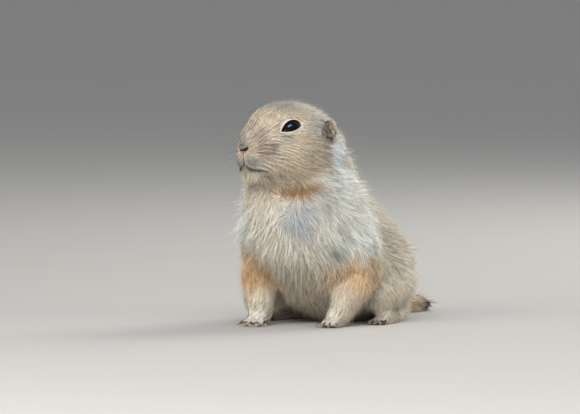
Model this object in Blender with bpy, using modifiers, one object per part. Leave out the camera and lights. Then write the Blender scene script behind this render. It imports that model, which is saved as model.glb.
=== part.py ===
"""Prairie dog pup, life size and still: it sits with its forepaws down, chest up and head turned to its right.

Metres, +Z up. The body faces -Y and its left side is +X. Tables of section sizes are in millimetres.
The flesh is laid up as lofted forms and lumps, fused and smoothed as clay would be, and then parted into the
named pieces by thin curved cuts. Every form reaches out to the tips of the short coat.
"""

from math import cos, pi, radians, sin

import bmesh
import bpy
from mathutils import Matrix, Vector
from mathutils.bvhtree import BVHTree

MM = 0.001
GAP = 0.0003
SIDES = {"left": 1, "right": -1}

# How the laid-up forms are fused and smoothed
FUSE_VOXEL = 1.1 * MM
SMOOTH_ROUNDS = 8
FLESH_TRIANGLES = 3400

# Trunk sections along the spine: y, z, half width, half depth, in millimetres
TRUNK = [
    (-34.0, 88.0, 21.0, 22.0),
    (-31.0, 76.0, 28.5, 27.0),
    (-25.5, 62.0, 33.8, 30.8),
    (-16.0, 48.5, 36.2, 32.4),
    (-1.0, 37.0, 37.4, 32.8),
    (16.0, 30.0, 38.2, 31.8),
    (32.0, 24.5, 35.8, 28.2),
    (47.0, 18.5, 28.0, 20.5),
    (59.0, 12.5, 11.0, 10.5),
]
NAPE_CENTRE, NAPE_RADII = (7.0, -15.0, 77.0), (17.0, 15.5, 18.0)

# Head: where it sits, how far it turns to its right, and its sections
HEAD_CENTRE = (-3.0, -38.0, 92.0)
HEAD_TURN = radians(-30)
# forward, half width, top, bottom, height of the widest point, in millimetres
HEAD = [
    (-28.5, 5.0, 5.0, -9.0, -2.0),
    (-25.5, 13.0, 11.5, -15.0, -2.5),
    (-20.0, 18.5, 17.5, -19.5, -3.5),
    (-12.0, 22.0, 22.0, -22.5, -4.5),
    (-3.0, 23.6, 23.8, -23.6, -5.5),
    (5.0, 22.6, 23.8, -23.0, -5.5),
    (12.0, 18.8, 22.2, -21.4, -5.0),
    (17.0, 15.0, 19.4, -19.8, -4.5),
    (21.0, 12.0, 14.8, -18.2, -4.5),
    (24.6, 9.7, 10.8, -15.4, -4.0),
    (26.2, 7.8, 8.2, -11.8, -3.0),
    (27.2, 4.2, 5.0, -7.0, -1.0),
]
HEAD_SQUARENESS = 2.3

# Limb centre lines on the left side: x, y, z, radius in millimetres. The right forepaw stands further forward.
UPPER_ARM = [(23, -28, 58, 11), (27, -22, 46, 12.5), (28.5, -14, 33, 11.5)]
FOREARM = {
    1: [(28.5, -13, 32, 11), (27, -16, 24, 10.4), (23.5, -22, 14, 8.4), (21.5, -26, 7, 6.4), (21, -31, 4.0, 5.4)],
    -1: [(27.5, -18, 32, 11), (26, -24, 24, 10.4), (22.5, -31, 14, 8.4), (20, -35, 7, 6.4), (19.5, -40, 4.0, 5.4)],
}
THIGH = [(18, 33, 24, 16.5), (24, 19, 22, 16.5), (28.5, 5, 16.5, 12.5)]
HIND_FOOT = [(25, 36, 6.5, 6.5), (28, 26, 5.2, 5.8), (31, 14, 4.4, 5.4), (33, 2, 3.8, 5.2)]
TAIL = [
    (0, 50, 15, 10),
    (0.5, 61, 9.5, 7.6),
    (2, 74, 6.4, 6.6),
    (4, 87, 5.2, 5.8),
    (6.5, 98, 4.2, 4.6),
    (8, 105, 3.2, 2.4),
]

# A digit from its root to the tip of its claw: distance out, height, radius, in millimetres
DIGIT = [(0.0, 2.4, 2.0), (4.8, 2.2, 1.9), (6.4, 1.9, 0.95), (8.4, 1.8, 0.72), (10.4, 0.75, 0.3)]
# How each digit fans out, in degrees towards the animal's left side for a left paw, and its share of full length
FOREPAW_DIGITS = [(-58, 0.72), (-27, 0.94), (-8, 1.0), (11, 1.0), (31, 0.92)]
HIND_DIGITS = [(-26, 0.84), (-12, 0.98), (2, 1.0), (16, 0.95), (31, 0.8)]

# Eyes, in the head's own frame (left, back, up)
EYE_RADIUS = 5.7 * MM
EYE_CENTRE = (14.7, -8.0, 10.5)
EYE_FACING = Vector((0.93, -0.28, 0.22)).normalized()
EYE_MOUND = 0.4 * MM
SLIT_WIDTH, SLIT_TOP, SLIT_BOTTOM = 10.6 * MM, 3.4 * MM, 2.0 * MM
SLIT_TILT = radians(16)
LID_THICKNESS, LID_MARGIN = 0.95 * MM, 1.5 * MM

# Ears
EAR_CENTRE, EAR_RADII = (19.0, 13.4, 8.0), (4.6, 4.4, 6.4)
EAR_CUP_SHIFT, EAR_CUP_RADII = (1.5, -2.6, 0.2), (3.9, 3.9, 5.2)
EAR_PIT_CENTRE, EAR_PIT_RADII = (19.6, 10.4, 7.8), (2.0, 1.7, 2.4)

# Nose and mouth
NOSE_CENTRE, NOSE_RADII = (0.0, -25.2, 0.4), (4.2, 3.0, 2.7)
NOSTRIL_CENTRE, NOSTRIL_RADII = (2.6, -27.6, 0.2), (1.5, 1.7, 0.65)
PHILTRUM = [(0, -28.4, -2.4), (0, -27.8, -5), (0, -27, -7.6)]
LIP_LINE = [(0, -27, -7.8), (4, -25.6, -9.5), (8, -23.4, -10.3), (9.8, -20.8, -10.7), (12, -18, -12.6)]
LIP_GROOVE = 0.5

BUFF = (0.60, 0.46, 0.31)
CREAM = (0.72, 0.64, 0.52)
RUST = (0.55, 0.33, 0.16)
FINISHES = {
    "eye": ((0.008, 0.006, 0.006), 0.08),
    "nose": ((0.10, 0.06, 0.05), 0.45),
    "ear": (BUFF, 0.85),
    "tail": (RUST, 0.9),
    "chest": (CREAM, 0.9),
    "neck": (CREAM, 0.9),
    "belly": (CREAM, 0.9),
    "forearm": (RUST, 0.9),
    "forepaw": (CREAM, 0.85),
    "hind_foot": (CREAM, 0.85),
}


def mm(x, y, z):
    return Vector((x, y, z)) * MM


def clear_scene():
    for obj in list(bpy.data.objects):
        bpy.data.objects.remove(obj)


def collection_of(name, shown=True):
    found = bpy.data.collections.new(name)
    bpy.context.scene.collection.children.link(found)
    found.hide_render = not shown
    return found


def object_from(bm, name, collection):
    bmesh.ops.recalc_face_normals(bm, faces=bm.faces)
    mesh = bpy.data.meshes.new(name)
    bm.to_mesh(mesh)
    bm.free()
    obj = bpy.data.objects.new(name, mesh)
    collection.objects.link(obj)
    return obj


def helper(bm, name):
    """A cutter or other guide, kept out of the model."""
    obj = object_from(bm, name, bpy.data.collections["cutters"])
    obj.hide_render = True
    obj.display_type = "WIRE"
    return obj


def bake(obj):
    """The object's modifiers made part of its mesh."""
    bpy.context.view_layer.update()
    graph = bpy.context.evaluated_depsgraph_get()
    mesh = bpy.data.meshes.new_from_object(obj.evaluated_get(graph))
    obj.modifiers.clear()
    obj.data = mesh


def copy_of(obj, name, collection):
    twin = bpy.data.objects.new(name, obj.data.copy())
    collection.objects.link(twin)
    return twin


def boolean(obj, other, operation, crossing=False):
    """Joins, cuts or keeps the overlap with the other object, then removes it. Its own shells may cross one another."""
    step = obj.modifiers.new(operation.lower(), "BOOLEAN")
    step.operation = operation
    step.solver = "EXACT"
    step.use_self = crossing
    step.object = other
    bake(obj)
    bpy.data.objects.remove(other)


def keep_largest(obj):
    """Drops loose scraps that a cut leaves."""
    bm = bmesh.new()
    bm.from_mesh(obj.data)
    waiting = set(bm.verts)
    islands = []
    while waiting:
        island, front = set(), [waiting.pop()]
        while front:
            vert = front.pop()
            island.add(vert)
            near = {edge.other_vert(vert) for edge in vert.link_edges} & waiting
            waiting -= near
            front.extend(near)
        islands.append(island)
    main_island = max(islands, key=len)
    bmesh.ops.delete(bm, geom=[v for v in bm.verts if v not in main_island], context="VERTS")
    bm.to_mesh(obj.data)
    bm.free()


def head_frame(side=1):
    """The head's place and turn. For side -1 its x is mirrored, so one set of sizes serves both sides."""
    mirror = Matrix.Diagonal((side, 1, 1, 1))
    return Matrix.Translation(mm(*HEAD_CENTRE)) @ Matrix.Rotation(HEAD_TURN, 4, "Z") @ mirror


def mirrored(rows, side):
    return [(side * x, *rest) for x, *rest in rows]


# Forms


def add_lump(bm, centre, radii, frame=None, segments=20):
    """A ball stretched to three radii, in millimetres."""
    matrix = (frame or Matrix()) @ Matrix.Translation(mm(*centre)) @ Matrix.Diagonal((*mm(*radii), 1))
    bmesh.ops.create_uvsphere(bm, u_segments=segments, v_segments=segments * 3 // 5, radius=1.0, matrix=matrix)


def add_loft(bm, rings):
    """A closed skin through rings of points, with flat ends."""
    loops = [[bm.verts.new(point) for point in ring] for ring in rings]
    count = len(loops[0])
    for a, b in zip(loops, loops[1:]):
        for i in range(count):
            j = (i + 1) % count
            bm.faces.new((a[i], a[j], b[j], b[i]))
    bm.faces.new(loops[0])
    bm.faces.new(loops[-1])


def smooth_path(rows, steps):
    """Rows of numbers read along a smooth curve through them, with this many steps between two rows."""
    found = []
    for i in range(len(rows) - 1):
        a, b, c, d = (rows[max(0, min(len(rows) - 1, i + k))] for k in (-1, 0, 1, 2))
        for step in range(steps):
            t = step / steps
            found.append(
                tuple(
                    0.5 * (2 * q + (r - p) * t + (2 * p - 5 * q + 4 * r - s) * t**2 + (3 * q - p - 3 * r + s) * t**3)
                    for p, q, r, s in zip(a, b, c, d)
                )
            )
    return found + [tuple(rows[-1])]


def round_ring(point, along, radius, sides):
    """A circle of points, square to the direction given."""
    side = along.cross(Vector((0.31, 0.17, 0.93))).normalized()
    up = side.cross(along)
    return [point + radius * (side * cos(2 * pi * k / sides) + up * sin(2 * pi * k / sides)) for k in range(sides)]


def add_limb(bm, rows, sides=16, steps=4, dome=(68, 38)):
    """A round limb through rows of x, y, z, radius, in millimetres. Each end is domed in rings at these angles."""
    path = smooth_path(rows, steps)
    points = [mm(*row[:3]) for row in path]
    radii = [row[3] * MM for row in path]
    rings = []
    last = len(points) - 1
    for i, (point, radius) in enumerate(zip(points, radii)):
        along = (points[min(i + 1, last)] - points[max(i - 1, 0)]).normalized()
        angles = [0.0]
        if i == 0:
            angles = [-radians(angle) for angle in dome] + angles
        if i == last:
            angles = angles + [radians(angle) for angle in dome[::-1]]
        for angle in angles:
            rings.append(round_ring(point + along * radius * sin(angle), along, radius * cos(angle), sides))
    add_loft(bm, rings)


def trunk_rings(sides=36):
    rows = smooth_path(TRUNK, 3)
    rings = []
    for i, (y, z, width, depth) in enumerate(rows):
        y0, z0 = rows[max(i - 1, 0)][:2]
        y1, z1 = rows[min(i + 1, len(rows) - 1)][:2]
        along = Vector((0, y1 - y0, z1 - z0)).normalized()
        back = Vector((0, -along.z, along.y))
        angles = [2 * pi * k / sides for k in range(sides)]
        rings.append([mm(0, y, z) + MM * (Vector((width * cos(a), 0, 0)) + back * depth * sin(a)) for a in angles])
    return rings


def squared(value):
    """A cosine or sine bent outwards, so that a round section turns a little square."""
    return abs(value) ** (2 / HEAD_SQUARENESS) * (1 if value > 0 else -1)


def head_rings(sides=36):
    rings = []
    for forward, width, top, bottom, middle in smooth_path(HEAD, 3):
        ring = []
        for k in range(sides):
            across, up = squared(cos(2 * pi * k / sides)), squared(sin(2 * pi * k / sides))
            height = (top - middle) if up > 0 else (middle - bottom)
            ring.append(head_frame() @ mm(width * across, -forward, middle + height * up))
        rings.append(ring)
    return rings


def add_face_forms(bm):
    """Nose bridge, chin, whisker pads, brows, cheeks, the ruff behind them and the mounds round the eyes."""
    head = head_frame()
    add_lump(bm, (0, -24.0, 4.6), (8.0, 5.2, 5.0), head)
    add_lump(bm, (0, -21.5, -14.6), (6.0, 4.8, 4.2), head)
    eye_mound = (EYE_RADIUS + EYE_MOUND) / MM
    for side in SIDES.values():
        half = head_frame(side)
        add_lump(bm, (5.6, -21.6, -4.2), (5.6, 5.2, 6.2), half)
        add_lump(bm, (10.0, -9.4, 15.8), (5.4, 7.0, 3.8), half)
        add_lump(bm, (12.6, 1.0, -8.8), (11.4, 15.0, 12.2), half)
        add_lump(bm, (8.5, 17.5, -1.5), (12.0, 12.0, 13.5), half)
        add_lump(bm, EYE_CENTRE, (eye_mound,) * 3, half)


def flesh(collection):
    """All the forms laid over one another, fused, smoothed, thinned to few faces and set flat on the floor."""
    bm = bmesh.new()
    add_loft(bm, trunk_rings())
    add_loft(bm, head_rings())
    add_lump(bm, NAPE_CENTRE, NAPE_RADII)
    add_face_forms(bm)
    for side in SIDES.values():
        for rows in (UPPER_ARM, FOREARM[side], THIGH, HIND_FOOT):
            add_limb(bm, mirrored(rows, side))
    add_limb(bm, TAIL)
    body = object_from(bm, "flesh", collection)
    fuse = body.modifiers.new("fuse", "REMESH")
    fuse.mode = "VOXEL"
    fuse.voxel_size = FUSE_VOXEL
    soften = body.modifiers.new("soften", "SMOOTH")
    soften.factor = 0.5
    soften.iterations = SMOOTH_ROUNDS
    bake(body)
    thin = body.modifiers.new("thin", "DECIMATE")
    thin.ratio = FLESH_TRIANGLES / (2 * len(body.data.polygons))
    bake(body)
    stand_on_floor(body)
    return body


def slab(point, normal, name):
    """A large block whose face passes through the point; the block lies on the side that the normal points to."""
    size = 0.4
    bm = bmesh.new()
    turn = Vector((0, 0, 1)).rotation_difference(Vector(normal)).to_matrix().to_4x4()
    matrix = Matrix.Translation(Vector(point)) @ turn @ Matrix.Translation((0, 0, size / 2))
    bmesh.ops.create_cube(bm, size=size, matrix=matrix)
    return helper(bm, name)


def stand_on_floor(obj):
    boolean(obj, slab((0, 0, 0), (0, 0, 1), "floor"), "INTERSECT")


# Parting the flesh into pieces


def limb_region(rows):
    """A rounded space round a piece. It is given what to grow by, so that its neighbour is cut a gap wider."""

    def made(grow):
        bm = bmesh.new()
        add_limb(bm, [(x, y, z, radius + grow / MM) for x, y, z, radius in rows], sides=16, steps=1)
        return helper(bm, "region")

    return made


def ball_region(centre, radii, frame):
    def made(grow):
        bm = bmesh.new()
        add_lump(bm, centre, [radius + grow / MM for radius in radii], frame, segments=24)
        return helper(bm, "region")

    return made


def plane_region(point, normal):
    def made(grow):
        normal_unit = Vector(normal).normalized()
        return slab(mm(*point) - normal_unit * grow, normal_unit, "region")

    return made


def part_off(body, region, name, collection):
    """Takes the flesh inside the region as a piece of its own and leaves a thin gap round it."""
    piece = copy_of(body, name, collection)
    boolean(piece, region(0.0), "INTERSECT")
    boolean(body, region(GAP), "DIFFERENCE")
    keep_largest(piece)
    return piece


def part_limbs(body, collection):
    for name, side in SIDES.items():
        elbow, _, _, wrist, palm = mirrored(FOREARM[side], side)
        x, y, z, _ = palm
        paw = limb_region([(x, y - 3, z, 9.5), (wrist[0], wrist[1] - 1, 3.5, 9.5)])
        part_off(body, paw, f"forepaw_{name}", collection)
        lower = limb_region([(*elbow[:3], 13.2), (*wrist[:3], 10.5)])
        part_off(body, lower, f"forearm_{name}", collection)
        shoulder = mirrored(UPPER_ARM, side)[0]
        upper = limb_region([(*shoulder[:3], 14.0), (elbow[0], elbow[1] - 1, elbow[2] + 4, 15.0)])
        part_off(body, upper, f"upper_arm_{name}", collection)
        heel, _, _, ball = mirrored(HIND_FOOT, side)
        foot = limb_region([(heel[0], heel[1] + 1, 4.0, 9.5), (*ball[:3], 9.5)])
        part_off(body, foot, f"hind_foot_{name}", collection)
        hip, _, knee = mirrored(THIGH, side)
        thigh = limb_region([(hip[0] + 2 * side, *hip[1:3], 19.0), (knee[0] + side, *knee[1:3], 15.5)])
        part_off(body, thigh, f"thigh_{name}", collection)


def part_trunk(body, collection):
    """Takes the head, tail, neck, chest and belly off the trunk, which leaves the rump. Returns the head."""
    head = part_off(body, ball_region((0, -2, 2), (35, 37, 27.5), head_frame()), "head", collection)
    part_off(body, plane_region((0, 62, 10), (0, 1, 0)), "tail", collection)
    part_off(body, plane_region((0, -29, 67), (0, -0.5, 0.87)), "neck", collection)
    part_off(body, plane_region((0, -8, 42), (0, -0.75, 0.66)), "chest", collection)
    part_off(body, plane_region((0, 26, 26), (0, -0.93, 0.37)), "belly", collection)
    body.name = "rump"
    keep_largest(body)
    return head


# Paws


def add_digits(bm, palm, digits, side):
    for fan, share in digits:
        angle = side * radians(fan)
        way = Vector((sin(angle), -cos(angle), 0))
        root = Vector((*palm[:2], 0)) + way * 2.5
        points = [(root + way * out * share, height, radius) for out, height, radius in DIGIT]
        rows = [(point.x, point.y, height, radius) for point, height, radius in points]
        add_limb(bm, rows, sides=6, steps=1, dome=(50,))


def add_paws():
    for name, side in SIDES.items():
        palms = {"forepaw": FOREARM[side][-1], "hind_foot": HIND_FOOT[-1]}
        for kind, digits in (("forepaw", FOREPAW_DIGITS), ("hind_foot", HIND_DIGITS)):
            bm = bmesh.new()
            add_digits(bm, mirrored([palms[kind]], side)[0], digits, side)
            paw = bpy.data.objects[f"{kind}_{name}"]
            boolean(paw, helper(bm, "digits"), "UNION", crossing=True)
            stand_on_floor(paw)
            keep_largest(paw)


# Face


def eye_axes():
    """Along the slit towards its back corner, and up across it, both at right angles to the way the eye faces."""
    back = Vector((0, 1, 0))
    level = (back - EYE_FACING * back.dot(EYE_FACING)).normalized()
    turn = Matrix.Rotation(SLIT_TILT, 3, EYE_FACING)
    along = turn @ level
    return along, EYE_FACING.cross(along)


def almond(side, grow, half_sides=9):
    """A bar of almond section that runs from the middle of the eye out through its slit."""
    half = head_frame(side)
    along, up = eye_axes()
    rings = []
    for reach in (0.5 * MM, 14 * MM):
        ring = []
        for k in range(2 * half_sides):
            angle = pi * k / half_sides
            height = (SLIT_TOP if k < half_sides else -SLIT_BOTTOM) + (grow if k < half_sides else -grow)
            across = (SLIT_WIDTH / 2 + grow) * cos(angle)
            rise = height * abs(sin(angle)) ** 1.25
            ring.append(half @ (mm(*EYE_CENTRE) + EYE_FACING * reach + along * across + up * rise))
        rings.append(ring)
    bm = bmesh.new()
    add_loft(bm, rings)
    return helper(bm, "almond")


def ball(side, radius):
    bm = bmesh.new()
    add_lump(bm, EYE_CENTRE, (radius / MM,) * 3, head_frame(side), segments=18)
    return bm


def add_eyes(head, collection):
    """Each eye is a ball in a socket, seen through a slit between two lids that wrap round it."""
    for name, side in SIDES.items():
        lids = helper(ball(side, EYE_RADIUS + LID_THICKNESS), "lids")
        boolean(lids, almond(side, LID_MARGIN), "INTERSECT")
        boolean(head, lids, "UNION")
        boolean(head, helper(ball(side, EYE_RADIUS + GAP), "socket"), "DIFFERENCE")
        boolean(head, almond(side, 0.0), "DIFFERENCE")
        object_from(ball(side, EYE_RADIUS), f"eye_{name}", collection)


def add_ears(head, collection):
    """Each ear is a low cup behind its opening, with a pit in the head for the opening itself."""
    for name, side in SIDES.items():
        half = head_frame(side)
        bm = bmesh.new()
        add_lump(bm, EAR_CENTRE, EAR_RADII, half, segments=16)
        ear = object_from(bm, f"ear_{name}", collection)
        bm = bmesh.new()
        add_lump(bm, [a + b for a, b in zip(EAR_CENTRE, EAR_CUP_SHIFT)], EAR_CUP_RADII, half, segments=16)
        boolean(ear, helper(bm, "cup"), "DIFFERENCE")
        around = copy_of(head, "around", bpy.data.collections["cutters"])
        swell = around.modifiers.new("swell", "DISPLACE")
        swell.strength = GAP
        swell.mid_level = 0.0
        bake(around)
        boolean(ear, around, "DIFFERENCE")
        keep_largest(ear)
        bm = bmesh.new()
        add_lump(bm, EAR_PIT_CENTRE, EAR_PIT_RADII, half, segments=10)
        boolean(head, helper(bm, "pit"), "DIFFERENCE")


def add_nose(head, collection):
    frame = head_frame()
    bm = bmesh.new()
    add_lump(bm, NOSE_CENTRE, NOSE_RADII, frame, segments=14)
    nose = object_from(bm, "nose", collection)
    bm = bmesh.new()
    add_lump(bm, NOSE_CENTRE, [radius + GAP / MM for radius in NOSE_RADII], frame, segments=14)
    boolean(head, helper(bm, "nose_socket"), "DIFFERENCE")
    for side in SIDES.values():
        bm = bmesh.new()
        add_lump(bm, NOSTRIL_CENTRE, NOSTRIL_RADII, head_frame(side), segments=10)
        boolean(nose, helper(bm, "nostril"), "DIFFERENCE")


def cut_mouth(head):
    """A fine groove on the skin for the cleft under the nose and for the line between the lips."""
    bm = bmesh.new()
    bm.from_mesh(head.data)
    skin = BVHTree.FromBMesh(bm)
    bm.free()
    right_half = [(-x, y, z) for x, y, z in LIP_LINE[:0:-1]]
    for line in (PHILTRUM, right_half + LIP_LINE):
        found = [skin.find_nearest(head_frame() @ mm(*point))[0] / MM for point in line]
        bm = bmesh.new()
        add_limb(bm, [(*point, LIP_GROOVE) for point in found], sides=6, steps=2)
        boolean(head, helper(bm, "groove"), "DIFFERENCE")
    keep_largest(head)


# Finishes and place


def paint():
    """One plain finish for each piece, after the colour that its coat shows."""
    for obj in bpy.data.collections["prairie_dog"].objects:
        kinds = [kind for kind in FINISHES if obj.name.startswith(kind)]
        colour, roughness = FINISHES[kinds[0]] if kinds else (BUFF, 0.9)
        material = bpy.data.materials.new(obj.name)
        material.use_nodes = True
        surface = material.node_tree.nodes["Principled BSDF"]
        surface.inputs["Base Color"].default_value = (*colour, 1)
        surface.inputs["Roughness"].default_value = roughness
        surface.inputs["Metallic"].default_value = 0.0
        obj.data.materials.clear()
        obj.data.materials.append(material)


def centre_on_origin():
    """Moves the whole model so that the middle of its footprint lies at the origin."""
    pieces = bpy.data.collections["prairie_dog"].objects
    points = [vert.co for obj in pieces for vert in obj.data.vertices]
    middle = [(min(p[i] for p in points) + max(p[i] for p in points)) / 2 for i in range(2)]
    for obj in pieces:
        obj.data.transform(Matrix.Translation((-middle[0], -middle[1], 0)))


def main():
    clear_scene()
    parts = collection_of("prairie_dog")
    collection_of("cutters", shown=False)
    body = flesh(parts)
    part_limbs(body, parts)
    head = part_trunk(body, parts)
    add_paws()
    add_eyes(head, parts)
    add_ears(head, parts)
    add_nose(head, parts)
    cut_mouth(head)
    paint()
    centre_on_origin()


main()
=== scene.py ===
"""Prairie dog pup: skin, coat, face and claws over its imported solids, on a pale studio floor.

Metres, +Z up. Sizes in the tables are in millimetres. Body places are measured from a point on the
floor behind the forepaws, with x to the animal's left and y to its back. Head places are measured
from the middle of the head, which is turned to the animal's right. Rows for paired features give the
left side, and the right side mirrors them.
"""

from math import cos, pi, radians, sin, sqrt

import bmesh
import bpy
import numpy as np
from mathutils import Matrix, Vector
from mathutils.bvhtree import BVHTree
from mathutils.kdtree import KDTree


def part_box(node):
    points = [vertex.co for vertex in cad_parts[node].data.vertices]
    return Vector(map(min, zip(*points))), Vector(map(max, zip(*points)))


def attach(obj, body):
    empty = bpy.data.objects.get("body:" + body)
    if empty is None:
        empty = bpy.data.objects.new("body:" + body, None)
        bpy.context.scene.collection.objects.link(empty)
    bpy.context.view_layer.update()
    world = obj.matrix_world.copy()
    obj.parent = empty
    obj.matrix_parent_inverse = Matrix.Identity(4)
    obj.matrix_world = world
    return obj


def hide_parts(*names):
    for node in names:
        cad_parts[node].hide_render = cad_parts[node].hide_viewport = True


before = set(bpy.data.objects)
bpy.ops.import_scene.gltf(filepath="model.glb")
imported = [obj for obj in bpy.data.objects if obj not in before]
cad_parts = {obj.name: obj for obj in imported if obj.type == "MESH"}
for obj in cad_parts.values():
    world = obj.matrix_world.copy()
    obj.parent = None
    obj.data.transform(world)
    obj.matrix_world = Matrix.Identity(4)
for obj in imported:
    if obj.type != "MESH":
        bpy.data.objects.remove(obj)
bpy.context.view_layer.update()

MM = 0.001
SIDES = {"left": 1, "right": -1}
LIMBS = ["upper_arm", "forearm", "forepaw", "thigh", "hind_foot"]
TRUNK = ["head", "neck", "chest", "belly", "rump", "tail"]
FLESH = TRUNK + [f"{limb}_{side}" for limb in LIMBS for side in SIDES]

HEAD_CENTRE = (-3.0, -38.0, 92.0)
HEAD_TURN = radians(-30)

# Eyes
EYE_CENTRE, EYE_RADIUS = (14.7, -8.0, 10.5), 5.7
EYE_FACING = Vector((0.93, -0.28, 0.22)).normalized()
SLIT_WIDTH, SLIT_TOP, SLIT_BOTTOM = 10.6, 3.4, 2.0
SLIT_TILT = radians(16)
# How sharply each end of the slit closes, where 1 is a plain oval
FRONT_PINCH, BACK_PINCH = 1.75, 1.05
CORNEA_BULGE, CORNEA_REACH = 0.25, 4.2
PUPIL_RADIUS, IRIS_START = 2.6, 3.4
SOCKET_DEPTH = 2.2
# Millimetres that stand for out of reach
FAR_AWAY = 99.0

# Nose and mouth
NOSE_CENTRE, NOSE_RADII = (0.0, -25.2, 0.4), (4.9, 3.3, 2.8)
NOSTRIL = [(0.4, -28.5, -1.1), (2.2, -28.1, -0.9), (3.8, -27.2, 0.1), (4.6, -26.1, 1.4)]
PHILTRUM = [(0, -28.4, -1.6), (0, -27.8, -5), (0, -27, -7.8)]
LIP_LINE = [(0, -27, -7.8), (4, -25.6, -9.5), (8, -23.4, -10.3), (9.8, -20.8, -10.7), (11, -19, -11.8)]
# The groove of the lips, the swelling beside it, and the dark tint with the place it fades away from
GROOVE_DEPTH, GROOVE_WIDTH = 0.55, 0.42
SWELLING, SWELLING_PLACE, SWELLING_WIDTH = 0.22, 1.1, 0.6
BARE_LIP = 0.22
LIP_TINT_WIDTH, LIP_MIDDLE, LIP_FADE = 0.9, (4.5, -25.4, -9.0), 9.0
NOSE_SOCKET_DEPTH = 2.4

# Ears: the pit in front of each cup, and the root that its hair points away from
EAR_PIT, EAR_BASE = (20.2, 11.9, 7.4), (15.0, 11.5, 5.0)

# Claws: where the digits root, how they fan out in degrees and their share of full length
PALMS = {
    "forepaw_left": (21, -31),
    "forepaw_right": (-19.5, -40),
    "hind_foot_left": (33, 2),
    "hind_foot_right": (-33, 2),
}
PALM_HEIGHT = 2
DIGITS = {
    "forepaw": [(-58, 0.72), (-27, 0.94), (-8, 1.0), (11, 1.0), (31, 0.92)],
    "hind_foot": [(-26, 0.84), (-12, 0.98), (2, 1.0), (16, 0.95), (31, 0.8)],
}
DIGIT_START = 2.5
# Distance out along the digit, height, radius
CLAW = [
    (5.2, 1.9, 0.7),
    (6.4, 2.0, 0.92),
    (7.6, 2.0, 0.82),
    (8.8, 1.7, 0.62),
    (9.8, 1.2, 0.4),
    (10.5, 0.6, 0.12),
]
CLAW_SIDES = 12
CLAW_NARROWNESS = 0.8
# A claw's shade runs from dark to pale between these distances from the palm
CLAW_DARK, CLAW_PALE = 8, 13

# Lie of the coat on the head: place, way of the hair, its length, coat depth, tuft width, reach of the row
HEAD_LIE = [
    ((0, -27, 6), (0, 1, 0.7), 1.3, 0.35, 0.22, 5),
    ((6, -23, 6), (0.3, 1, 0.5), 1.5, 0.4, 0.24, 5),
    ((0, -18, 15), (0, 1, 0.8), 2.0, 0.55, 0.28, 6),
    ((10, -14, 14), (0.1, 1, 0.75), 2.0, 0.5, 0.26, 5),
    ((0, -4, 22), (0, 1, 0.1), 3.2, 1.1, 0.34, 8),
    ((13, -2, 18), (0.2, 1, 0.0), 2.8, 0.9, 0.32, 6),
    ((0, 14, 19), (0, 1, -0.6), 4.2, 1.6, 0.4, 8),
    ((16, 16, 12), (0.1, 1, -0.5), 3.8, 1.4, 0.38, 7),
    ((10, -23, -3), (0.7, 1, -0.2), 1.6, 0.4, 0.24, 4),
    ((4, -28, -5), (0.8, 0.4, -0.7), 1.2, 0.3, 0.2, 3),
    ((9, -22, -9), (0.5, 0.9, -0.5), 1.4, 0.35, 0.22, 3.5),
    ((0, -24, -13), (0, 0.1, -1), 3.2, 0.9, 0.28, 4),
    ((8, -19, -15), (0.2, 0.7, -0.8), 3.4, 1.1, 0.32, 4.5),
    ((16, -15, 2), (0.3, 1, -0.15), 1.8, 0.45, 0.26, 4.5),
    ((17, -13, -7), (0.4, 1, -0.35), 2.4, 0.7, 0.3, 5.5),
    ((19, -5, 3), (0.1, 1, -0.25), 2.0, 0.5, 0.27, 4),
    ((17, -9, 17), (0.2, 1, 0.35), 1.9, 0.5, 0.26, 4),
    ((21, 3, 8), (0.05, 1, 0), 2.2, 0.6, 0.28, 4.5),
    ((23, 0, -7), (0.1, 1, -0.45), 3.4, 1.2, 0.34, 7),
    ((17, 2, -18), (0.1, 0.8, -0.7), 4.4, 1.8, 0.42, 7),
    ((8, -8, -21), (0.1, 0.8, -0.6), 3.8, 1.4, 0.38, 6),
    ((20, 18, 0), (0, 0.9, -0.6), 4.6, 1.8, 0.42, 7),
]
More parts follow.
